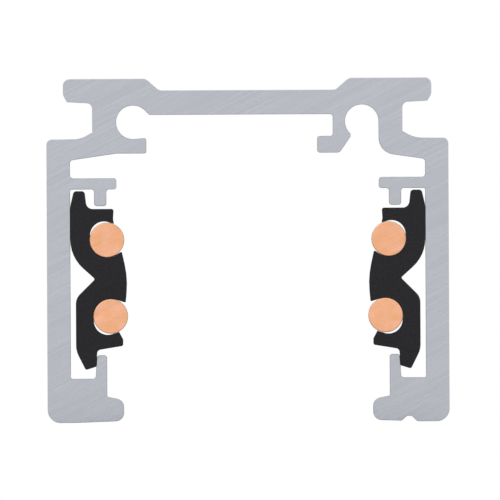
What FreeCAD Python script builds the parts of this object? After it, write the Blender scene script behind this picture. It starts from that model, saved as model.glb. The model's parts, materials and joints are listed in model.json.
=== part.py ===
import FreeCAD, Part
import math
import os

# Surface lighting track: an aluminium channel with two insulator strips and four round copper conductors.
# It lies on its feet, back up and mouth down. X runs across the track, Y along it and Z up.
# The origin is at the middle of the length, on the floor under the mouth. Sizes are in millimetres.

LENGTH = 1000.0
WIDTH = 36.0
HEIGHT = 30.8
WALL = 2.2  # flanges and back web
SIDE_WALL = 2.1

# Back: two pads touch the ceiling, and the web between them is set down
PAD_STEP = 1.05
PAD_INNER_X = 9.1
PAD_RAMP_RUN = 1.2
PAD_RAMP_FOOT_R = 0.6
PAD_RAMP_TOP_R = 0.8
FLANGE_X = 16.5
FLANGE_R = 0.6
FLANGE_NOSE_Z = 29.35  # where the flange's edge starts to be cut back
FLANGE_NOSE_CUT = 0.35
FLANGE_NOSE_R = 0.8
FLANGE_TAPER = 0.12  # how much thinner the flange is at its edge
FIXING_HOLE_R = 2.25
FIXING_HOLE_PITCH = 800.0

# Neck under each flange, and the shoulder that it flares out to
NECK = 2.15
NECK_R = 0.5
SHOULDER_Z = 25.4
SHOULDER_R = 0.5
FLARE_RUN = 1.1
FLARE_RISE = 0.6
FLARE_R = 2.5
SHOULDER_UNDER_Z = 24.1  # below the neck
SHOULDER_WALL_Z = 23.5  # at the side wall

# Screw ports for the end caps: the left one opens sideways, the right one downwards
PORT_X = 10.25
PORT_Z = 26.9
PORT_R = 1.5
PORT_RAMP_DEG = 135.0
PORT_RAMP_R = 0.3
PORT_ARM_R = 2.0
PORT_LIP_X = 9.05
PORT_LIP_Z = 25.5
PORT_LIP_DEG = -95.0
PORT_LIP_R = 0.2
PORT_FILLET_R = 1.5
HOOK_X = 7.65
HOOK_R = 0.25
HOOK_TIP_DEG = 228.0
HOOK_TIP_DROP = 0.25  # height of the hook's blunt tip
HOOK_TIP_R = 0.15
HOOK_HEEL_X = 8.27
HOOK_HEEL_R = 0.45
HOOK_FOOT_X = 6.25
HOOK_FOOT_Z = 24.1
HOOK_FOOT_TOP_Z = 25.6

# Seats for the insulator strips: a shelf with a lip above, a pocket with a lip below
SHELF_X = 11.75
SHELF_TOP_Z = 21.9
SHELF = 1.0
SEAT_R = 0.3
LIP_X = 12.65
LIP_R = 0.25
UPPER_LIP = 1.1
UPPER_LIP_Z = 19.4
LOWER_LIP = 0.9  # at its edge
LOWER_LIP_ROOT = 1.04
LOWER_LIP_Z = 6.05
POCKET_Z = 3.95
POCKET_R = 0.15

# Feet beside the mouth, flat under the walls and rising to the toes, and the groove that marks one side
FOOT_R = 1.15
FOOT_FLAT_X = 15.4
FOOT_BEND_R = 4.0
TOE_X = 11.15
TOE_UNDER_Z = 0.15
TOE_Z = 2.03
TOE_R = 0.78
TOE_ROOT_Z = 2.33
MARK_X = 14.4
MARK_WIDTH = 1.4
MARK_FLAT = 0.42  # width of the groove's flat bottom
MARK_DEPTH = 0.45
MARK_R = 0.2

# Conductors: the lower one stands a little nearer to the middle than the upper one
WIRE_R = 1.55
UPPER_WIRE_X = 12.62
LOWER_WIRE_X = 12.31
WIRE_MID_Z = 12.95
WIRE_PITCH = 6.83

# Insulator strip: a close groove for each wire, relieved behind, a rib between and a tongue at each end
GROOVE_SLACK = 0.01
GROOVE_SEAT_DEG = 56.0  # where the wire touches its groove, from level
UPPER_CLAW_DEG = 114.0  # where each groove ends at its claw
LOWER_CLAW_DEG = 118.0
UPPER_RAMP_DEG = 121.0  # where each groove runs out onto the rib
LOWER_RAMP_DEG = 107.0
UPPER_RAMP = 0.6  # length of that straight run
LOWER_RAMP = 0.93
RELIEF_DEG = 57.0  # which way the relief lies from level
RELIEF_SHIFT = 0.48
RELIEF_R = 1.25
RIB_BOW_X = 10.76
RIB_BOW_R = 8.0
NOTCH_X = 13.7
NOTCH_Z = 12.87
NOTCH_R = 0.15
UPPER_BACK_TOP_Z = 19.4
UPPER_BACK_BEND_Z = 14.85
UPPER_BACK_BEND_R = 3.4
LOWER_BACK_X = 15.43
LOWER_BACK_BEND_Z = 11.15
LOWER_BACK_BEND_R = 1.2
LOWER_BACK_END_Z = 6.45
BACK_R = 2.0
UPPER_TONGUE_IN_X = 14.42
UPPER_TONGUE_TIP_X = 14.6
UPPER_TONGUE_OUT_X = 15.58
UPPER_TONGUE_Z = 20.75
TONGUE_R = 0.3
TONGUE_ROOT_R = 0.6
UPPER_NOSE_X = 12.0
UPPER_NOSE_Z = 19.15
UPPER_NOSE_CHIN_X = 12.06
UPPER_NOSE_CHIN_Z = 18.25
NOSE_R = 0.2
LOWER_TONGUE_X = 14.57
LOWER_TONGUE_Z = 4.72
LOWER_TONGUE_HEEL_Z = 5.02
LOWER_NOSE_X = 11.2
LOWER_NOSE_Z = 6.88
LOWER_NOSE_BROW_Z = 7.45
LOWER_NOSE_ROOT_Z = 6.5
LOWER_NOSE_ROOT_R = 0.35

EDGE_R = 0.1  # edges that are all but sharp

WALL_OUT_X = WIDTH / 2
WALL_IN_X = WALL_OUT_X - SIDE_WALL
NECK_IN_X = PORT_X + PORT_R
NECK_OUT_X = NECK_IN_X + NECK
WEB_TOP_Z = HEIGHT - PAD_STEP
WEB_UNDER_Z = WEB_TOP_Z - WALL
FLANGE_UNDER_Z = HEIGHT - WALL
SHELF_UNDER_Z = SHELF_TOP_Z - SHELF
UPPER_LIP_BACK_X = LIP_X + UPPER_LIP
UPPER_WIRE_Z = WIRE_MID_Z + WIRE_PITCH / 2
LOWER_WIRE_Z = WIRE_MID_Z - WIRE_PITCH / 2
GROOVE_R = WIRE_R + GROOVE_SLACK
PORT_CENTRE = (PORT_X, PORT_Z)


def polar(centre, radius, degrees):
    """The point at that distance and angle from a centre, as (x, z)."""
    angle = math.radians(degrees)
    return (centre[0] + radius * math.cos(angle), centre[1] + radius * math.sin(angle))


def corner(x, z, radius):
    """A corner of an outline, rounded to a radius."""
    return {"start": (x, z), "end": (x, z), "radius": radius}


def arc(centre, radius, start_deg, end_deg):
    """A round stretch of an outline, from one angle to another about its centre."""
    return {
        "start": polar(centre, radius, start_deg),
        "middle": polar(centre, radius, (start_deg + end_deg) / 2),
        "end": polar(centre, radius, end_deg),
    }


def mirrored(outline):
    """The same outline on the other side of the track, in the opposite order."""
    flipped = []
    for item in reversed(outline):
        other = {"start": item["end"], "end": item["start"], "middle": item.get("middle")}
        other = {key: (-point[0], point[1]) for key, point in other.items() if point}
        if "radius" in item:
            other["radius"] = item["radius"]
        flipped.append(other)
    return flipped


def at_end(point):
    """A section point as a vector in the plane of the track's near end."""
    return FreeCAD.Vector(point[0], -LENGTH / 2, point[1])


def rounding(before, item, after):
    """The start, middle and end of the arc that rounds a corner between its two neighbours."""
    apex = at_end(item["start"])
    back = (at_end(before["end"]) - apex).normalize()
    ahead = (at_end(after["start"]) - apex).normalize()
    half = back.getAngle(ahead) / 2
    reach = item["radius"] / math.tan(half)
    depth = item["radius"] / math.sin(half) - item["radius"]
    bisector = (back + ahead).normalize()
    return [apex + back * reach, apex + bisector * depth, apex + ahead * reach]


def section(outline):
    """A flat face at the near end, bounded by arcs and rounded corners joined with straight edges."""
    stretches = []
    for i, item in enumerate(outline):
        if "middle" in item:
            stretches.append([at_end(item[key]) for key in ("start", "middle", "end")])
        else:
            stretches.append(rounding(outline[i - 1], item, outline[(i + 1) % len(outline)]))
    edges = []
    for i, points in enumerate(stretches):
        edges.append(Part.Arc(*points).toShape())
        following = stretches[(i + 1) % len(stretches)][0]
        if points[-1].distanceToPoint(following) > 1e-6:
            edges.append(Part.LineSegment(points[-1], following).toShape())
    return Part.Face(Part.Wire(edges))


def extruded(outline):
    """An outline run the whole length of the track."""
    return section(outline).extrude(FreeCAD.Vector(0, LENGTH, 0))


def back_and_wall():
    """The right half from the back's middle, over the flange and shoulder, to the flat under the foot."""
    return [
        corner(PAD_INNER_X - PAD_RAMP_RUN, WEB_TOP_Z, PAD_RAMP_FOOT_R),
        corner(PAD_INNER_X, HEIGHT, PAD_RAMP_TOP_R),
        corner(FLANGE_X, HEIGHT, FLANGE_R),
        corner(FLANGE_X, FLANGE_NOSE_Z, FLANGE_NOSE_R),
        corner(FLANGE_X - FLANGE_NOSE_CUT, FLANGE_UNDER_Z + FLANGE_TAPER, EDGE_R),
        corner(NECK_OUT_X, FLANGE_UNDER_Z, NECK_R),
        corner(NECK_OUT_X, SHOULDER_Z + FLARE_RISE, EDGE_R),
        corner(NECK_OUT_X + FLARE_RUN, SHOULDER_Z, FLARE_R),
        corner(WALL_OUT_X, SHOULDER_Z, SHOULDER_R),
        corner(WALL_OUT_X, 0, FOOT_R),
        corner(FOOT_FLAT_X, 0, FOOT_BEND_R),
    ]


def foot_under(x):
    """The height of a foot's underside between its flat and its toe."""
    return TOE_UNDER_Z * (FOOT_FLAT_X - x) / (FOOT_FLAT_X - TOE_X)


def lower_lip_back(z):
    """How far out the lower lip reaches at a height: it is thicker at its root, in the pocket."""
    share = (LOWER_LIP_Z - z) / (LOWER_LIP_Z - POCKET_Z)
    return LIP_X + LOWER_LIP + share * (LOWER_LIP_ROOT - LOWER_LIP)


def side_mark():
    """The small groove along the underside of one foot."""
    outer_x = MARK_X + MARK_WIDTH / 2
    inner_x = MARK_X - MARK_WIDTH / 2
    top_z = foot_under(MARK_X) + MARK_DEPTH
    return [
        corner(outer_x, foot_under(outer_x), MARK_R),
        corner(MARK_X + MARK_FLAT / 2, top_z, MARK_R),
        corner(MARK_X - MARK_FLAT / 2, top_z, MARK_R),
        corner(inner_x, foot_under(inner_x), MARK_R),
    ]


def foot_and_seat():
    """The toe beside the mouth, the pocket, the lips and the shelf, up to the shoulder's underside."""
    return [
        corner(TOE_X, TOE_UNDER_Z, TOE_R),
        corner(TOE_X, TOE_Z, TOE_R),
        corner(LIP_X, TOE_ROOT_Z, EDGE_R),
        corner(LIP_X, LOWER_LIP_Z, LIP_R),
        corner(lower_lip_back(LOWER_LIP_Z), LOWER_LIP_Z, LIP_R),
        corner(lower_lip_back(POCKET_Z), POCKET_Z, LIP_R),
        corner(WALL_IN_X, POCKET_Z, POCKET_R),
        corner(WALL_IN_X, SHELF_UNDER_Z, POCKET_R),
        corner(UPPER_LIP_BACK_X, SHELF_UNDER_Z, LIP_R),
        corner(UPPER_LIP_BACK_X, UPPER_LIP_Z, LIP_R),
        corner(LIP_X, UPPER_LIP_Z, LIP_R),
        corner(LIP_X, SHELF_UNDER_Z, LIP_R),
        corner(SHELF_X, SHELF_UNDER_Z, LIP_R),
        corner(SHELF_X, SHELF_TOP_Z, LIP_R),
        corner(WALL_IN_X, SHELF_TOP_Z, SEAT_R),
        corner(WALL_IN_X, SHOULDER_WALL_Z, SEAT_R),
    ]


def sideways_port():
    """A screw port that opens towards the middle of the track, over a short lip."""
    ramp = polar(PORT_CENTRE, PORT_R, PORT_RAMP_DEG)
    ramp_foot_x = ramp[0] + (ramp[1] - WEB_UNDER_Z) / math.tan(math.radians(PORT_RAMP_DEG))
    return [
        corner(NECK_IN_X, SHOULDER_UNDER_Z, PORT_ARM_R),
        corner(PORT_LIP_X, SHOULDER_UNDER_Z, PORT_LIP_R),
        corner(PORT_LIP_X, PORT_LIP_Z, PORT_LIP_R),
        arc(PORT_CENTRE, PORT_R, PORT_LIP_DEG, PORT_RAMP_DEG),
        corner(ramp_foot_x, WEB_UNDER_Z, PORT_RAMP_R),
    ]


def downward_port():
    """A screw port that opens towards the mouth, beside a hook with a blunt tip and a foot."""
    tip = polar(PORT_CENTRE, PORT_R, HOOK_TIP_DEG)
    return [
        corner(NECK_IN_X, SHOULDER_UNDER_Z, PORT_FILLET_R),
        arc(PORT_CENTRE, PORT_R, 0, HOOK_TIP_DEG),
        corner(tip[0], tip[1] - HOOK_TIP_DROP, HOOK_TIP_R),
        corner(HOOK_HEEL_X, HOOK_FOOT_Z, HOOK_HEEL_R),
        corner(HOOK_FOOT_X, HOOK_FOOT_Z, HOOK_R),
        corner(HOOK_FOOT_X, HOOK_FOOT_TOP_Z, HOOK_R),
        corner(HOOK_X, HOOK_FOOT_TOP_Z, HOOK_R),
        corner(HOOK_X, WEB_UNDER_Z, HOOK_R),
    ]


def fixing_holes():
    """The ceiling screws' holes through the back web, one pitch apart."""
    up = FreeCAD.Vector(0, 0, 1)
    foot_z = WEB_UNDER_Z - WALL
    return [
        Part.makeCylinder(FIXING_HOLE_R, 3 * WALL, FreeCAD.Vector(0, y, foot_z), up)
        for y in (-FIXING_HOLE_PITCH / 2, FIXING_HOLE_PITCH / 2)
    ]


def housing():
    """The aluminium extrusion. Its halves differ only in the screw ports and the side mark."""
    right = back_and_wall() + side_mark() + foot_and_seat() + downward_port()
    left = back_and_wall() + foot_and_seat() + sideways_port()
    return extruded(right + mirrored(left)).cut(fixing_holes())


def groove_centre(wire_x, wire_z, slack_side):
    """The middle of a wire's groove. The wire lies against the rib, and the slack is on the far side."""
    shift = polar((0, 0), GROOVE_R - WIRE_R, GROOVE_SEAT_DEG)
    return (wire_x - shift[0], wire_z + slack_side * shift[1])


def groove(centre, start_deg, end_deg, relief_deg):
    """A wire's groove from one angle to another, with a relief where the two circles cross between them."""
    along = (GROOVE_R**2 + RELIEF_SHIFT**2 - RELIEF_R**2) / (2 * RELIEF_SHIFT)
    across = math.sqrt(GROOVE_R**2 - along**2)
    groove_half = math.degrees(math.atan2(across, along))
    relief_half = math.degrees(math.atan2(across, along - RELIEF_SHIFT))
    relief_centre = polar(centre, RELIEF_SHIFT, relief_deg)
    return [
        arc(centre, GROOVE_R, start_deg, relief_deg - groove_half),
        arc(relief_centre, RELIEF_R, relief_deg - relief_half, relief_deg + relief_half),
        arc(centre, GROOVE_R, relief_deg + groove_half, end_deg),
    ]


def insulator_outline():
    """The right strip's section, from the upper tongue down the back and up the front."""
    upper = groove_centre(UPPER_WIRE_X, UPPER_WIRE_Z, 1)
    lower = groove_centre(LOWER_WIRE_X, LOWER_WIRE_Z, -1)
    lower_rib = polar(polar(lower, GROOVE_R, LOWER_RAMP_DEG), LOWER_RAMP, LOWER_RAMP_DEG + 90)
    upper_rib = polar(polar(upper, GROOVE_R, -UPPER_RAMP_DEG), UPPER_RAMP, -UPPER_RAMP_DEG - 90)
    return [
        corner(UPPER_TONGUE_OUT_X, UPPER_TONGUE_Z, TONGUE_R),
        corner(WALL_IN_X, UPPER_BACK_TOP_Z, BACK_R),
        corner(WALL_IN_X, UPPER_BACK_BEND_Z, UPPER_BACK_BEND_R),
        corner(NOTCH_X, NOTCH_Z, NOTCH_R),
        corner(LOWER_BACK_X, LOWER_BACK_BEND_Z, LOWER_BACK_BEND_R),
        corner(LOWER_BACK_X, LOWER_BACK_END_Z, BACK_R),
        corner(LOWER_TONGUE_X, LOWER_TONGUE_Z, NOSE_R),
        corner(lower_lip_back(LOWER_TONGUE_HEEL_Z), LOWER_TONGUE_HEEL_Z, EDGE_R),
        corner(lower_lip_back(LOWER_NOSE_ROOT_Z), LOWER_NOSE_ROOT_Z, LOWER_NOSE_ROOT_R),
        corner(LOWER_NOSE_X, LOWER_NOSE_Z, NOSE_R),
        corner(LOWER_NOSE_X, LOWER_NOSE_BROW_Z, NOSE_R),
        *groove(lower, -LOWER_CLAW_DEG, LOWER_RAMP_DEG, -RELIEF_DEG),
        corner(*lower_rib, EDGE_R),
        corner(RIB_BOW_X, WIRE_MID_Z, RIB_BOW_R),
        corner(*upper_rib, EDGE_R),
        *groove(upper, -UPPER_RAMP_DEG, UPPER_CLAW_DEG, RELIEF_DEG),
        corner(UPPER_NOSE_CHIN_X, UPPER_NOSE_CHIN_Z, EDGE_R),
        corner(UPPER_NOSE_X, UPPER_NOSE_Z, NOSE_R),
        corner(UPPER_TONGUE_IN_X, UPPER_NOSE_Z, TONGUE_ROOT_R),
        corner(UPPER_TONGUE_TIP_X, UPPER_TONGUE_Z, TONGUE_R),
    ]


def conductor(x, z):
    """A round wire along the whole track."""
    return Part.makeCylinder(WIRE_R, LENGTH, at_end((x, z)), FreeCAD.Vector(0, 1, 0))


def main():
    strip = insulator_outline()
    pieces = {
        "housing": housing(),
        "insulator_left": extruded(mirrored(strip)),
        "insulator_right": extruded(strip),
    }
    for side, sign in (("left", -1), ("right", 1)):
        pieces[f"conductor_{side}_upper"] = conductor(sign * UPPER_WIRE_X, UPPER_WIRE_Z)
        pieces[f"conductor_{side}_lower"] = conductor(sign * LOWER_WIRE_X, LOWER_WIRE_Z)
    os.makedirs("parts", exist_ok=True)
    for name, shape in pieces.items():
        shape.exportStep(f"parts/{name}.step")
        print(f"{name}: {len(shape.Solids)} solid, section {shape.Volume / LENGTH:.1f} mm2")


main()
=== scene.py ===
import json
import math

import bmesh
import bpy
from mathutils import Matrix, Vector


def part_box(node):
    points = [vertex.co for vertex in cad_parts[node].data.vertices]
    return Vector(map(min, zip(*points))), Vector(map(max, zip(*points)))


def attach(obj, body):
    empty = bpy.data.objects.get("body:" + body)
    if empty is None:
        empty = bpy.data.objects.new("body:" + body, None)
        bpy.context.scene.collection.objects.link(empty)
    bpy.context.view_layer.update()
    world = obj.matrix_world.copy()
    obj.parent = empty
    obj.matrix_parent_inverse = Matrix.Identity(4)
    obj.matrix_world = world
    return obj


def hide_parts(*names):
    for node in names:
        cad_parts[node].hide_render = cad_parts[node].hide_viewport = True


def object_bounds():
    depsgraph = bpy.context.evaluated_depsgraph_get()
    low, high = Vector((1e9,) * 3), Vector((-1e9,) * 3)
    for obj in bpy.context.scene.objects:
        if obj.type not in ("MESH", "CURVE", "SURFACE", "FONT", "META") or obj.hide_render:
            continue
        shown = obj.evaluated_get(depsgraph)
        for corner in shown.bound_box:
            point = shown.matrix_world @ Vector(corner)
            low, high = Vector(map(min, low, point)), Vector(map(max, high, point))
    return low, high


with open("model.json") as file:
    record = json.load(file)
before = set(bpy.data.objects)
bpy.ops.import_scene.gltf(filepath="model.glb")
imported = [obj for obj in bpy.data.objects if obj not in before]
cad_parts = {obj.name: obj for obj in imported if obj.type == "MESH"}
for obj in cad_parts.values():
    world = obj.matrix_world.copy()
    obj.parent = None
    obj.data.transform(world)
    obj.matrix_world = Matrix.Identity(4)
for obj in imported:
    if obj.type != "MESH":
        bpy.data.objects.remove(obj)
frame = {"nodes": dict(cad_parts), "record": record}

CAD_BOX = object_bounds()
NEAR_END, FAR_END = CAD_BOX[0].y, CAD_BOX[1].y

bl_info = {
    "name": "Surface Lighting Track",
    "version": (1, 0, 0),
    "blender": (4, 5, 0),
    "location": "3D View > Sidebar > Track",
    "description": "Finishes a length of track: an aluminium channel, plastic strips and copper wires",
    "category": "Object",
}

STRIPS = ("insulator_left", "insulator_right")
WIRES = (
    "conductor_left_upper",
    "conductor_left_lower",
    "conductor_right_upper",
    "conductor_right_lower",
)

MM_PER_METRE = 1000.0
QUARTER_TURN = math.radians(90)
WHITE = (1.0, 1.0, 1.0)

# Points of a CAD mesh that are nearer to each other than this are one point.
MERGE_DISTANCE = 1e-6
# Triangles that lie this flat to each other become one face.
FLAT_ANGLE = math.radians(0.1)
# Edges sharper than this stay crisp in the shading.
CRISP_ANGLE = math.radians(30)
# A face is sawn where it is this near to an end and its normal leans this much along the track.
END_REACH = 0.001
SAWN_LEAN = 0.5
# A face counts as level where its normal leans this much upwards or downwards.
LEVEL_LEAN = 0.9
# A corner lies on the wall of a hole where it is off the wall by less than this share of the radius.
BORE_TOLERANCE = 0.01
# How many faces there are across the rounded edge of a wire.
WIRE_EDGE_FACES = 3
# Places of the materials on a piece.
SKIN, CUT, DRILLED = 0, 1, 2

# Places of the colour sockets on a Mix node.
MIX_FACTOR, MIX_FIRST, MIX_SECOND, MIX_RESULT = 0, 6, 7, 2
# The saw's marks in three sizes: how many finest marks wide and long, and how much each size counts.
SAW_LAYERS = ((1, 1, 0.35), (2, 1, 0.45), (12, 3, 0.2))
# How far the two sets of handling scratches slant away from the track's length.
SCRATCH_SLANTS = (math.radians(14), math.radians(-52))
# A pattern turned this far about the track's length shows alike on upright walls and level webs.
HALF_CORNER = math.radians(45)
# A pattern that is this long in one direction doesn't change in that direction.
UNCHANGING = 1.0
# Noise climbs from 0 to 1 between such limits. The higher they are, the fewer places have a mark.
ALL_OVER = (0.35, 0.65)
PATCHY = (0.5, 0.6)
FEW = (0.7, 0.8)
VERY_FEW = (0.8, 0.86)
# The share of itself by which marks take a roughness below and above its middle.
ROUGHNESS_CHANGE = 0.15

# Each lamp's name, its place, the side of its square and its power in watts.
LAMPS = (
    ("front_lamp", (-0.6, -2.6, 1.2), 2.0, 7.5),
    ("top_lamp", (-0.7, 0.1, 2.0), 2.0, 7.0),
    ("right_lamp", (2.2, 0.4, 1.1), 1.8, 6.0),
    ("back_lamp", (-0.8, 2.4, 1.2), 1.8, 6.0),
)


class TrackSizes(bpy.types.PropertyGroup):
    """Sizes of what is done to the stock after it is drawn."""

    sawn_edge: bpy.props.FloatProperty(
        name="Sawn edge",
        description="Width of the deburred edge round each sawn end",
        default=0.00004,
        min=0.00001,
        max=0.00008,
        precision=6,
        unit="LENGTH",
    )
    drilled_edge: bpy.props.FloatProperty(
        name="Drilled edge",
        description="Width of the deburred edge round each fixing hole",
        default=0.00025,
        min=0.00005,
        max=0.0005,
        precision=6,
        unit="LENGTH",
    )
    wire_edge: bpy.props.FloatProperty(
        name="Wire edge",
        description="Radius of the rounded edge at each end of a wire",
        default=0.00008,
        min=0.00002,
        max=0.0004,
        precision=6,
        unit="LENGTH",
    )
    wire_sides: bpy.props.IntProperty(
        name="Wire sides",
        description="Number of flat faces round a wire",
        default=64,
        min=24,
        max=128,
    )


class TrackFinish(bpy.types.PropertyGroup):
    """Colours and gloss of the stock, and the marks that drawing, sawing and handling leave on it."""

    aluminium: bpy.props.FloatVectorProperty(
        name="Aluminium",
        description="Colour of the bare aluminium",
        default=(0.479, 0.492, 0.540),
        min=0.0,
        max=1.0,
        subtype="COLOR",
    )
    plastic: bpy.props.FloatVectorProperty(
        name="Plastic",
        description="Colour of the insulator strips",
        default=(0.015, 0.015, 0.0177),
        min=0.0,
        max=1.0,
        subtype="COLOR",
    )
    scuffed_plastic: bpy.props.FloatVectorProperty(
        name="Scuffed plastic",
        description="Colour of the insulator strips where they are scratched",
        default=(0.027, 0.027, 0.032),
        min=0.0,
        max=1.0,
        subtype="COLOR",
    )
    copper: bpy.props.FloatVectorProperty(
        name="Copper",
        description="Colour of the bare wires",
        default=(0.882, 0.460, 0.292),
        min=0.0,
        max=1.0,
        subtype="COLOR",
    )
    warm_copper: bpy.props.FloatVectorProperty(
        name="Warm copper",
        description="Colour of the wires in patches where the metal is more orange",
        default=(0.858, 0.424, 0.221),
        min=0.0,
        max=1.0,
        subtype="COLOR",
    )
    tarnished_copper: bpy.props.FloatVectorProperty(
        name="Tarnished copper",
        description="Colour of the wires' skin where it has dulled",
        default=(0.60, 0.27, 0.15),
        min=0.0,
        max=1.0,
        subtype="COLOR",
    )
    sawn_metal_roughness: bpy.props.FloatProperty(
        name="Sawn metal roughness",
        description="Roughness of metal that is sawn or drilled",
        default=0.25,
        min=0.0,
        max=1.0,
        subtype="FACTOR",
    )
    drawn_metal_roughness: bpy.props.FloatProperty(
        name="Drawn metal roughness",
        description="Roughness of metal as it leaves the die",
        default=0.38,
        min=0.0,
        max=1.0,
        subtype="FACTOR",
    )
    sawn_plastic_roughness: bpy.props.FloatProperty(
        name="Sawn plastic roughness",
        description="Roughness of the cut ends of the strips",
        default=0.61,
        min=0.0,
        max=1.0,
        subtype="FACTOR",
    )
    drawn_plastic_roughness: bpy.props.FloatProperty(
        name="Drawn plastic roughness",
        description="Roughness of the skin of the strips",
        default=0.47,
        min=0.0,
        max=1.0,
        subtype="FACTOR",
    )
    plastic_gloss: bpy.props.FloatProperty(
        name="Plastic gloss",
        description="Strength of the plastic's reflections",
        default=0.2,
        min=0.0,
        max=1.0,
        subtype="FACTOR",
    )
    plastic_contrast: bpy.props.FloatProperty(
        name="Plastic contrast",
        description="How much lighter or darker than the plastic its grain is",
        default=0.1,
        min=0.0,
        max=1.0,
        subtype="FACTOR",
    )
    saw_angle: bpy.props.FloatProperty(
        name="Saw angle",
        description="How steeply the saw marks rise to the right on the near end",
        default=math.radians(26.5),
        subtype="ANGLE",
    )
    saw_mark_width: bpy.props.FloatProperty(
        name="Saw mark width",
        description="Width of the finest mark that the saw leaves on an end",
        default=0.0001,
        precision=6,
        unit="LENGTH",
    )
    saw_mark_length: bpy.props.FloatProperty(
        name="Saw mark length",
        description="Length of the finest mark that the saw leaves on an end",
        default=0.006,
        precision=5,
        unit="LENGTH",
    )
    saw_mark_depth: bpy.props.FloatProperty(
        name="Saw mark depth",
        description="Depth of the marks that the saw leaves on an end",
        default=0.000001,
        precision=6,
        unit="LENGTH",
    )
    saw_contrast: bpy.props.FloatProperty(
        name="Saw contrast",
        description="How much lighter or darker than the metal a saw mark is",
        default=0.025,
        min=0.0,
        max=1.0,
        subtype="FACTOR",
    )
    die_line_width: bpy.props.FloatProperty(
        name="Die line width",
        description="Width of the lines that the die draws along the stock",
        default=0.00024,
        precision=6,
        unit="LENGTH",
    )
    die_line_length: bpy.props.FloatProperty(
        name="Die line length",
        description="Length over which a die line keeps its tone",
        default=0.25,
        unit="LENGTH",
    )
    die_line_depth: bpy.props.FloatProperty(
        name="Die line depth",
        description="Depth of the lines that the die draws along the stock",
        default=0.000005,
        precision=6,
        unit="LENGTH",
    )
    die_contrast: bpy.props.FloatProperty(
        name="Die contrast",
        description="How much lighter or darker than the metal a die line is",
        default=0.16,
        min=0.0,
        max=1.0,
        subtype="FACTOR",
    )
    score_contrast: bpy.props.FloatProperty(
        name="Score contrast",
        description="How much darker than the metal a score or a speck from the die is",
        default=0.22,
        min=0.0,
        max=1.0,
        subtype="FACTOR",
    )
    speck_width: bpy.props.FloatProperty(
        name="Speck width",
        description="Width of the specks that stick to the die and mark the metal",
        default=0.00012,
        precision=6,
        unit="LENGTH",
    )
    scratch_width: bpy.props.FloatProperty(
        name="Scratch width",
        description="Width of a scratch from handling",
        default=0.00005,
        precision=6,
        unit="LENGTH",
    )
    scratch_length: bpy.props.FloatProperty(
        name="Scratch length",
        description="Length of a scratch from handling",
        default=0.008,
        precision=4,
        unit="LENGTH",
    )
    scratch_contrast: bpy.props.FloatProperty(
        name="Scratch contrast",
        description="How much lighter than the metal a scratch is",
        default=0.15,
        min=0.0,
        max=1.0,
        subtype="FACTOR",
    )
    cloud_size: bpy.props.FloatProperty(
        name="Cloud size",
        description="Size of the faint patches that air and handling leave on a skin",
        default=0.006,
        precision=4,
        unit="LENGTH",
    )


class TrackStage(bpy.types.PropertyGroup):
    """The floor, the light and the camera."""

    picture_width: bpy.props.FloatProperty(
        name="Picture width",
        description="Width that the camera takes in, square on to the near end",
        default=0.04478,
        precision=5,
        unit="LENGTH",
    )
    aim: bpy.props.FloatVectorProperty(
        name="Aim",
        description="Place on the near end that is at the middle of the picture, across and up",
        default=(0.00019, 0.01541),
        size=2,
        precision=5,
        subtype="XYZ_LENGTH",
    )
    roll: bpy.props.FloatProperty(
        name="Roll",
        description="How far the camera leans, which lifts the right side of the track in the picture",
        default=math.radians(0.28),
        subtype="ANGLE",
    )
    camera_gap: bpy.props.FloatProperty(
        name="Camera gap",
        description="Distance from the camera to the near end",
        default=0.8,
        unit="LENGTH",
    )
    floor_size: bpy.props.FloatProperty(
        name="Floor size",
        description="Length of the square floor's side",
        default=8.0,
        unit="LENGTH",
    )
    floor_colour: bpy.props.FloatVectorProperty(
        name="Floor colour",
        description="Colour of the floor",
        default=(0.92, 0.92, 0.92),
        min=0.0,
        max=1.0,
        subtype="COLOR",
    )
    ambient: bpy.props.FloatProperty(
        name="Ambient",
        description="How strongly the white surroundings light what is matt",
        default=0.72,
        min=0.0,
        max=1.0,
        subtype="FACTOR",
    )


class Value:
    """What a node gives. Arithmetic on values that are numbers adds Math nodes."""

    def __init__(self, look, socket):
        self.look = look
        self.socket = socket

    def combined(self, operation, first, second):
        """What a Math node makes of two numbers, of which at least one is such a value."""
        return self.look.node("Math", "Value", {"operation": operation}, {0: first, 1: second})

    def __add__(self, other):
        return self.combined("ADD", self, other)

    def __radd__(self, other):
        return self.combined("ADD", other, self)

    def __sub__(self, other):
        return self.combined("SUBTRACT", self, other)

    def __rsub__(self, other):
        return self.combined("SUBTRACT", other, self)

    def __mul__(self, other):
        return self.combined("MULTIPLY", self, other)

    def __rmul__(self, other):
        return self.combined("MULTIPLY", other, self)

    def __or__(self, other):
        return self.combined("MAXIMUM", self, other)

    def __ror__(self, other):
        return self.combined("MAXIMUM", other, self)


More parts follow.
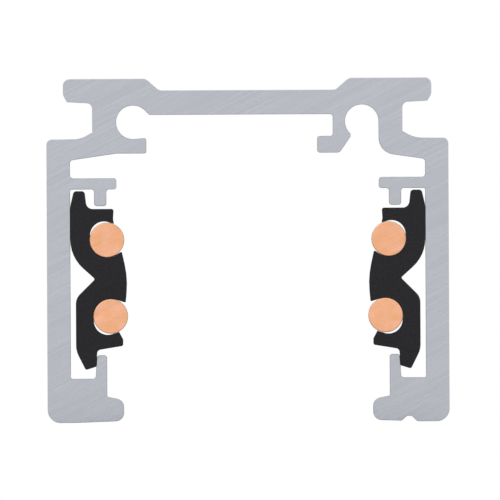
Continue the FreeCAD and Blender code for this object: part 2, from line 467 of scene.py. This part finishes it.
class Look:
    """A node tree that is being written."""

    def __init__(self, tree):
        self.tree = tree
        tree.nodes.clear()

    def node(self, kind, output, settings=None, sockets=None):
        """Adds a node, its settings first and then its sockets, and gives one of its outputs."""
        made = self.tree.nodes.new("ShaderNode" + kind)
        for name, setting in (settings or {}).items():
            setattr(made, name, setting)
        for name, value in (sockets or {}).items():
            if isinstance(value, Value):
                self.tree.links.new(value.socket, made.inputs[name])
            else:
                made.inputs[name].default_value = value
        if output is None:
            return None
        return Value(self, made.outputs[output])

    def place(self, size, turn=(0.0, 0.0, 0.0)):
        """Object coordinates, turned, in which one unit is as long as each of the three sizes."""
        coordinates = self.node("TexCoord", "Object")
        return self.node(
            "Mapping",
            "Vector",
            {"vector_type": "TEXTURE"},
            {"Vector": coordinates, "Rotation": turn, "Scale": size},
        )

    def noise(self, place, detail=2.0, roughness=0.5):
        """Noise from 0 to 1 with its middle at one half."""
        return self.node(
            "TexNoise",
            "Fac",
            {"noise_dimensions": "3D", "normalize": True},
            {"Vector": place, "Scale": 1.0, "Detail": detail, "Roughness": roughness},
        )

    def ramp(self, value, limits):
        """0 below the lower limit and 1 above the upper one, with a smooth climb between them."""
        low, high = limits
        return self.node(
            "MapRange",
            "Result",
            {"interpolation_type": "SMOOTHSTEP"},
            {"Value": value, "From Min": low, "From Max": high},
        )

    def between(self, factor, first, second):
        """A colour between two colours."""
        return self.node(
            "Mix",
            MIX_RESULT,
            {"data_type": "RGBA"},
            {MIX_FACTOR: factor, MIX_FIRST: opaque(first), MIX_SECOND: opaque(second)},
        )

    def toned(self, factor, colour, contrast):
        """A colour that goes from darker to lighter by a share of itself."""
        return self.between(factor, shaded(colour, -contrast), shaded(colour, contrast))

    def relief(self, height, depth):
        """A normal that follows a height, in which 1 stands for the given depth."""
        return self.node("Bump", "Normal", None, {"Height": height, "Distance": depth})

    def surface(self, sockets):
        """Ends the tree in a surface with these sockets."""
        shader = self.node("BsdfPrincipled", "BSDF", None, sockets)
        self.node("OutputMaterial", None, None, {"Surface": shader})


def opaque(colour):
    """A colour for a socket, unless it is already a socket's own value."""
    if isinstance(colour, Value):
        return colour
    return (*colour, 1.0)


def shaded(colour, share):
    """A colour made lighter or darker by a share of itself."""
    return tuple(channel * (1.0 + share) for channel in colour)


def varied(roughness, marks):
    """A roughness that goes from below to above its middle as the marks go from 0 to 1."""
    return roughness * (1.0 - ROUGHNESS_CHANGE) + 2.0 * roughness * ROUGHNESS_CHANGE * marks


def blended(main, other, share):
    """A number made of two others, of which the second counts for a share and the first for the rest."""
    return (1.0 - share) * main + share * other


def new_material(name):
    """A material with an empty tree, and the look that writes the tree."""
    material = bpy.data.materials.new(name)
    material.use_nodes = True
    return material, Look(material.node_tree)


def saw_marks(look, finish):
    """Straight marks of a saw across an end, from 0 to 1, that rise to the right on the near end."""
    turn = (0.0, -finish.saw_angle, 0.0)
    marks = 0.0
    for wider, longer, share in SAW_LAYERS:
        size = (longer * finish.saw_mark_length, UNCHANGING, wider * finish.saw_mark_width)
        marks = marks + share * look.noise(look.place(size, turn))
    return look.ramp(marks, ALL_OVER)


def die_lines(look, finish):
    """Lines that the die draws along the stock, from hair-fine ones to broad bands, from 0 to 1."""
    width, length = finish.die_line_width, finish.die_line_length
    band_width, band_length = 7 * width, 2 * length
    lines = look.noise(look.place((width, length, width)), detail=4.0, roughness=0.7)
    bands = look.noise(look.place((band_width, band_length, band_width)))
    return blended(look.ramp(lines, ALL_OVER), look.ramp(bands, ALL_OVER), share=0.3)


def die_scores(look, finish):
    """Deeper lines, few and far between, from a nick in the die: 1 on a line and 0 off it."""
    width, length = finish.die_line_width / 2, 4 * finish.die_line_length
    return look.ramp(look.noise(look.place((width, length, width)), detail=0.0), FEW)


def pick_up(look, finish):
    """Sparse short specks along the stock where metal stuck to the die: 1 on a speck and 0 off it."""
    width = finish.speck_width
    length = 5 * width
    return look.ramp(look.noise(look.place((width, length, width)), detail=0.0), VERY_FEW)


def handling_scratches(look, finish):
    """Short straight scratches, here and there in patches: 1 on a scratch and 0 off it."""
    width, length = finish.scratch_width, finish.scratch_length
    patch_size = 2 * length
    patches = look.ramp(look.noise(look.place((patch_size,) * 3), detail=1.0), PATCHY)
    along, across = (
        look.noise(look.place((UNCHANGING, length, width), (slant, HALF_CORNER, 0.0)), detail=0.0)
        for slant in SCRATCH_SLANTS
    )
    return patches * look.ramp(along | across, VERY_FEW)


def clouds(look, finish):
    """Soft patches, drawn out along the stock, from 0 to 1."""
    width = finish.cloud_size
    length = 10 * width
    return look.ramp(look.noise(look.place((width, length, width))), ALL_OVER)


def drill_rings(look, finish):
    """Fine rings that a drill leaves round the wall of an upright hole, from 0 to 1."""
    return look.ramp(look.noise(look.place((UNCHANGING, UNCHANGING, finish.saw_mark_width))), ALL_OVER)


def sawn_aluminium(finish):
    """The matt bright cut of a fine saw."""
    material, look = new_material("sawn_aluminium")
    marks = saw_marks(look, finish)
    look.surface({
        "Base Color": look.toned(marks, finish.aluminium, finish.saw_contrast),
        "Metallic": 1.0,
        "Roughness": varied(finish.sawn_metal_roughness, marks),
        "Normal": look.relief(marks, finish.saw_mark_depth),
    })
    return material


def drilled_aluminium(finish):
    """The bright wall of a drilled hole and of the chamfers on its rims."""
    material, look = new_material("drilled_aluminium")
    rings = drill_rings(look, finish)
    contrast, depth = 2 * finish.saw_contrast, 2 * finish.saw_mark_depth
    look.surface({
        "Base Color": look.toned(rings, finish.aluminium, contrast),
        "Metallic": 1.0,
        "Roughness": varied(finish.sawn_metal_roughness, rings),
        "Normal": look.relief(rings, depth),
    })
    return material


def drawn_aluminium(finish):
    """The satin skin that the die leaves, with specks of pick-up and a few scratches from handling."""
    material, look = new_material("drawn_aluminium")
    lines = die_lines(look, finish)
    scores = die_scores(look, finish)
    specks = pick_up(look, finish)
    scratches = handling_scratches(look, finish)
    tone = blended(lines, clouds(look, finish), share=0.25)
    colour = look.toned(tone, finish.aluminium, finish.die_contrast)
    colour = look.between(scores | specks, colour, shaded(finish.aluminium, -finish.score_contrast))
    colour = look.between(scratches, colour, shaded(finish.aluminium, finish.scratch_contrast))
    height = lines + 0.5 * specks - scores - 0.5 * scratches
    look.surface({
        "Base Color": colour,
        "Metallic": 1.0,
        "Roughness": varied(finish.drawn_metal_roughness, 1.0 - tone + specks - scratches),
        "Normal": look.relief(height, finish.die_line_depth),
    })
    return material


def sawn_plastic(finish):
    """The cut end of a strip, with the grain of plastic and the saw's faintest marks."""
    material, look = new_material("sawn_plastic")
    grain_size = 2 * finish.saw_mark_width
    grain = look.ramp(look.noise(look.place((grain_size,) * 3), detail=3.0), ALL_OVER)
    smear = blended(grain, saw_marks(look, finish), share=0.15)
    depth = 2 * finish.saw_mark_depth
    look.surface({
        "Base Color": look.toned(smear, finish.plastic, finish.plastic_contrast),
        "Roughness": varied(finish.sawn_plastic_roughness, 1.0 - smear),
        "Specular IOR Level": finish.plastic_gloss,
        "Normal": look.relief(smear, depth),
    })
    return material


def drawn_plastic(finish):
    """The semi-matt skin of an extruded strip."""
    material, look = new_material("drawn_plastic")
    lines = die_lines(look, finish)
    scratches = handling_scratches(look, finish)
    tone = blended(lines, clouds(look, finish), share=0.4)
    contrast = 2 * finish.plastic_contrast
    colour = look.toned(tone, finish.plastic, contrast)
    height = 0.5 * lines - scratches
    look.surface({
        "Base Color": look.between(scratches, colour, finish.scuffed_plastic),
        "Roughness": varied(finish.drawn_plastic_roughness, 1.0 - lines + scratches),
        "Specular IOR Level": finish.plastic_gloss,
        "Normal": look.relief(height, finish.die_line_depth),
    })
    return material


def sawn_copper(finish):
    """The cut end of a wire, with soft patches and the saw's faint marks."""
    material, look = new_material("sawn_copper")
    patch_size = 10 * finish.saw_mark_width
    warmth = look.ramp(look.noise(look.place((patch_size,) * 3)), ALL_OVER)
    marks = saw_marks(look, finish)
    fresh = look.toned(marks, finish.copper, finish.saw_contrast)
    warm = look.toned(marks, finish.warm_copper, finish.saw_contrast)
    depth = finish.saw_mark_depth / 2
    look.surface({
        "Base Color": look.between(warmth, fresh, warm),
        "Metallic": 1.0,
        "Roughness": varied(finish.sawn_metal_roughness, marks),
        "Normal": look.relief(marks, depth),
    })
    return material


def drawn_copper(finish):
    """The smooth skin of a drawn wire, dulled in patches."""
    material, look = new_material("drawn_copper")
    lines = die_lines(look, finish)
    dull = 0.5 * clouds(look, finish) + 0.3 * lines
    depth = finish.die_line_depth / 2
    look.surface({
        "Base Color": look.between(dull, finish.warm_copper, finish.tarnished_copper),
        "Metallic": 1.0,
        "Roughness": varied(finish.drawn_metal_roughness, 1.0 - lines + dull),
        "Normal": look.relief(lines, depth),
    })
    return material


def pick_only(piece):
    """Leaves one object selected and active."""
    bpy.ops.object.select_all(action="DESELECT")
    piece.select_set(True)
    bpy.context.view_layer.objects.active = piece


def select_only(piece, kind, wanted):
    """In edit mode, selects only the faces, or only the edges, that the test wants."""
    bpy.ops.mesh.select_mode(type=kind)
    bpy.ops.mesh.select_all(action="DESELECT")
    mesh = bmesh.from_edit_mesh(piece.data)
    parts = mesh.faces if kind == "FACE" else mesh.edges
    for part in parts:
        if wanted(part):
            part.select_set(True)
    bmesh.update_edit_mesh(piece.data)


def merged_copy(node, name):
    """A new object with a CAD node's shape, its loose triangles merged into whole faces."""
    piece = bpy.data.objects.new(name, frame["nodes"][node].data.copy())
    bpy.context.scene.collection.objects.link(piece)
    pick_only(piece)
    bpy.ops.mesh.customdata_custom_splitnormals_clear()
    bpy.ops.object.mode_set(mode="EDIT")
    bpy.ops.mesh.select_all(action="SELECT")
    bpy.ops.mesh.remove_doubles(threshold=MERGE_DISTANCE)
    bpy.ops.mesh.dissolve_limited(angle_limit=FLAT_ANGLE)
    bpy.ops.object.mode_set(mode="OBJECT")
    return piece


def ease_end(piece, end, edge, inward):
    """In edit mode, moves the rim of an end inward by an edge and leaves the rest of the end in place."""
    select_only(piece, "FACE", lambda face: abs(face.calc_center_median().y - end) < edge / 2)
    bpy.ops.transform.translate(value=(0.0, inward * edge, 0.0))
    bpy.ops.mesh.inset(thickness=edge, depth=edge)


def ease_sawn_ends(piece, edge):
    """Takes the sharp edge off both ends, which stay where the saw left them."""
    bpy.ops.object.mode_set(mode="EDIT")
    ease_end(piece, NEAR_END, edge, inward=1.0)
    ease_end(piece, FAR_END, edge, inward=-1.0)
    bpy.ops.object.mode_set(mode="OBJECT")


def smooth_rounds(piece):
    """Shades round stretches smooth and keeps flat faces flat and sharp edges crisp."""
    pick_only(piece)
    bpy.ops.object.shade_smooth_by_angle(angle=CRISP_ANGLE, keep_sharp_edges=False)
    bpy.ops.object.modifier_add(type="WEIGHTED_NORMAL")
    modifier = piece.modifiers[-1]
    modifier.keep_sharp = True
    bpy.ops.object.modifier_apply(modifier=modifier.name)


def finish_piece(piece, node, materials):
    """Gives a piece its skin and its cut ends, attaches it to the root body and hides its CAD node."""
    smooth_rounds(piece)
    piece.data.materials.clear()
    for material in materials:
        piece.data.materials.append(material)
    for face in piece.data.polygons:
        at_an_end = min(face.center.y - NEAR_END, FAR_END - face.center.y) < END_REACH
        is_sawn = at_an_end and abs(face.normal.y) > SAWN_LEAN
        face.material_index = CUT if is_sawn else SKIN
    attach(piece, "root")
    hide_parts(node)


def fixing_holes():
    """Radius and middles of the drilled holes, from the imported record."""
    mount = next(row for row in frame["record"]["mounts"] if row["name"] == "ceiling_screws")
    radius = mount["dims"]["hole_r_mm"] / MM_PER_METRE
    pitch = mount["dims"]["spacing_y_mm"] / MM_PER_METRE
    middle = Vector(mount["pos_m"])
    half_pitch = Vector((0.0, pitch / 2, 0.0))
    return radius, (middle - half_pitch, middle + half_pitch)


def is_on_bore(part, middle, radius):
    """Whether all corners of a face or an edge lie on the wall of a hole."""
    reaches = [(corner.co.xy - middle.xy).length for corner in part.verts]
    return all(abs(reach - radius) < BORE_TOLERANCE * radius for reach in reaches)


def is_level(face):
    """Whether a face looks mostly up or down."""
    return abs(face.normal.z) > LEVEL_LEAN


def is_in_hole(face, middle, reach):
    """Whether a face belongs to the wall of a hole or to the chamfer on its rim."""
    return (face.center.xy - middle.xy).length < reach and not is_level(face)


def chamfer_hole(piece, middle, radius, edge):
    """In edit mode, opens both rims of a hole to a small chamfer."""
    select_only(piece, "FACE", lambda face: is_on_bore(face, middle, radius))
    bpy.ops.mesh.inset(thickness=edge, depth=0.0)
    select_only(
        piece,
        "EDGE",
        lambda rim: is_on_bore(rim, middle, radius) and any(is_level(face) for face in rim.link_faces),
    )
    wider = (radius + edge) / radius
    bpy.ops.transform.resize(value=(wider, wider, 1.0), center_override=middle)


def is_wire_rim(edge):
    """Whether an edge runs round the end of a wire and not along it."""
    first, second = edge.verts
    return abs(first.co.y - second.co.y) < MERGE_DISTANCE


class TRACK_OT_housing(bpy.types.Operator):
    """Makes the aluminium channel, with deburred holes and ends"""

    bl_idname = "track.housing"
    bl_label = "Aluminium channel"

    def execute(self, context):
        sizes = context.scene.track_sizes
        finish = context.scene.track_finish
        materials = (drawn_aluminium(finish), sawn_aluminium(finish), drilled_aluminium(finish))
        piece = merged_copy("housing", "aluminium_channel")
        radius, holes = fixing_holes()
        bpy.ops.object.mode_set(mode="EDIT")
        for middle in holes:
            chamfer_hole(piece, middle, radius, sizes.drilled_edge)
        bpy.ops.object.mode_set(mode="OBJECT")
        ease_sawn_ends(piece, sizes.sawn_edge)
        finish_piece(piece, "housing", materials)
        for face in piece.data.polygons:
            if any(is_in_hole(face, middle, radius + sizes.drilled_edge) for middle in holes):
                face.material_index = DRILLED
        return {"FINISHED"}


class TRACK_OT_strips(bpy.types.Operator):
    """Makes the two plastic strips that hold the wires"""

    bl_idname = "track.strips"
    bl_label = "Insulator strips"

    def execute(self, context):
        sizes = context.scene.track_sizes
        finish = context.scene.track_finish
        materials = (drawn_plastic(finish), sawn_plastic(finish))
        for node in STRIPS:
            piece = merged_copy(node, node.replace("insulator", "plastic_strip"))
            ease_sawn_ends(piece, sizes.sawn_edge)
            finish_piece(piece, node, materials)
        return {"FINISHED"}


class TRACK_OT_wires(bpy.types.Operator):
    """Makes the four copper wires"""

    bl_idname = "track.wires"
    bl_label = "Copper wires"

    def execute(self, context):
        finish = context.scene.track_finish
        materials = (drawn_copper(finish), sawn_copper(finish))
        pattern = self.one_wire(context.scene.track_sizes)
        for node in WIRES:
            piece = pattern.copy()
            piece.data = pattern.data.copy()
            piece.name = node.replace("conductor", "copper_wire")
            context.scene.collection.objects.link(piece)
            low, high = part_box(node)
            piece.data.transform(Matrix.Translation((low + high) / 2))
            finish_piece(piece, node, materials)
        bpy.data.objects.remove(pattern)
        return {"FINISHED"}

    def one_wire(self, sizes):
        """A wire along the track, about the origin, with rounded edges at its ends."""
        low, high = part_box(WIRES[0])
        bpy.ops.object.select_all(action="DESELECT")
        bpy.ops.mesh.primitive_cylinder_add(
            vertices=sizes.wire_sides,
            radius=(high.z - low.z) / 2,
            depth=high.y - low.y,
            rotation=(QUARTER_TURN, 0.0, 0.0),
        )
        wire = bpy.context.active_object
        bpy.ops.object.transform_apply(location=True, rotation=True, scale=True)
        bpy.ops.object.mode_set(mode="EDIT")
        select_only(wire, "EDGE", is_wire_rim)
        bpy.ops.mesh.bevel(offset=sizes.wire_edge, segments=WIRE_EDGE_FACES, affect="EDGES")
        bpy.ops.object.mode_set(mode="OBJECT")
        return wire


class TRACK_OT_stage(bpy.types.Operator):
    """Makes the floor, the light and the camera"""

    bl_idname = "track.stage"
    bl_label = "Stage"

    def execute(self, context):
        stage = context.scene.track_stage
        context.scene.view_settings.view_transform = "Standard"
        self.make_floor(stage)
        self.make_world(context.scene, stage)
        self.make_lamps(context.scene)
        self.make_camera(context.scene, stage)
        return {"FINISHED"}

    def make_floor(self, stage):
        """A pale matt floor under the track."""
        bpy.ops.object.select_all(action="DESELECT")
        bpy.ops.mesh.primitive_plane_add(size=stage.floor_size)
        floor = bpy.context.active_object
        floor.name = "floor"
        material, look = new_material("pale_floor")
        look.surface({
            "Base Color": opaque(stage.floor_colour),
            "Roughness": 1.0,
            "Specular IOR Level": 0.0,
        })
        floor.data.materials.append(material)

    def make_world(self, scene, stage):
        """White surroundings, dimmer for what is matt so that the lamps can shape it."""
        world = bpy.data.worlds.new("white_room")
        world.use_nodes = True
        look = Look(world.node_tree)
        seen = look.node("LightPath", "Is Camera Ray")
        glossy = look.node("LightPath", "Is Glossy Ray")
        passed = look.node("LightPath", "Is Transmission Ray")
        strength = stage.ambient + (1.0 - stage.ambient) * (seen | glossy | passed)
        sockets = {"Color": opaque(WHITE), "Strength": strength}
        light = look.node("Background", "Background", None, sockets)
        look.node("OutputWorld", None, None, {"Surface": light})
        scene.world = world

    def make_lamps(self, scene):
        """Large soft lamps in front, above, to the right and behind."""
        middle = (CAD_BOX[0] + CAD_BOX[1]) / 2
        for name, place, size, power in LAMPS:
            data = bpy.data.lights.new(name, "AREA")
            data.shape = "SQUARE"
            data.size = size
            data.energy = power
            lamp = bpy.data.objects.new(name, data)
            lamp.location = place
            lamp.rotation_euler = (middle - Vector(place)).to_track_quat("-Z", "Y").to_euler()
            scene.collection.objects.link(lamp)

    def make_camera(self, scene, stage):
        """A camera square on to the near end, with no perspective."""
        data = bpy.data.cameras.new("end_view")
        data.type = "ORTHO"
        data.ortho_scale = stage.picture_width
        camera = bpy.data.objects.new("end_view", data)
        across, up = stage.aim
        camera.location = (across, NEAR_END - stage.camera_gap, up)
        camera.rotation_euler = (QUARTER_TURN, stage.roll, 0.0)
        scene.collection.objects.link(camera)
        scene.camera = camera


class TRACK_PT_pieces(bpy.types.Panel):
    """Lists the pieces of the track and their settings"""

    bl_idname = "TRACK_PT_pieces"
    bl_label = "Surface lighting track"
    bl_space_type = "VIEW_3D"
    bl_region_type = "UI"
    bl_category = "Track"

    def draw(self, context):
        layout = self.layout
        for operator in OPERATORS:
            layout.operator(operator.bl_idname)
        for group in (context.scene.track_sizes, context.scene.track_finish, context.scene.track_stage):
            box = layout.box()
            for name in group.__annotations__:
                box.prop(group, name)


OPERATORS = (TRACK_OT_housing, TRACK_OT_strips, TRACK_OT_wires, TRACK_OT_stage)
CLASSES = (TrackSizes, TrackFinish, TrackStage, *OPERATORS, TRACK_PT_pieces)


def register():
    """Adds the classes, and the scene's settings for the track."""
    for entry in CLASSES:
        bpy.utils.register_class(entry)
    bpy.types.Scene.track_sizes = bpy.props.PointerProperty(type=TrackSizes)
    bpy.types.Scene.track_finish = bpy.props.PointerProperty(type=TrackFinish)
    bpy.types.Scene.track_stage = bpy.props.PointerProperty(type=TrackStage)


def unregister():
    """Takes away what register adds."""
    del bpy.types.Scene.track_stage
    del bpy.types.Scene.track_finish
    del bpy.types.Scene.track_sizes
    for entry in reversed(CLASSES):
        bpy.utils.unregister_class(entry)


def main():
    """Makes the track and its stage."""
    register()
    bpy.ops.track.housing()
    bpy.ops.track.strips()
    bpy.ops.track.wires()
    bpy.ops.track.stage()
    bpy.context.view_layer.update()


if __name__ == "__main__":
    main()
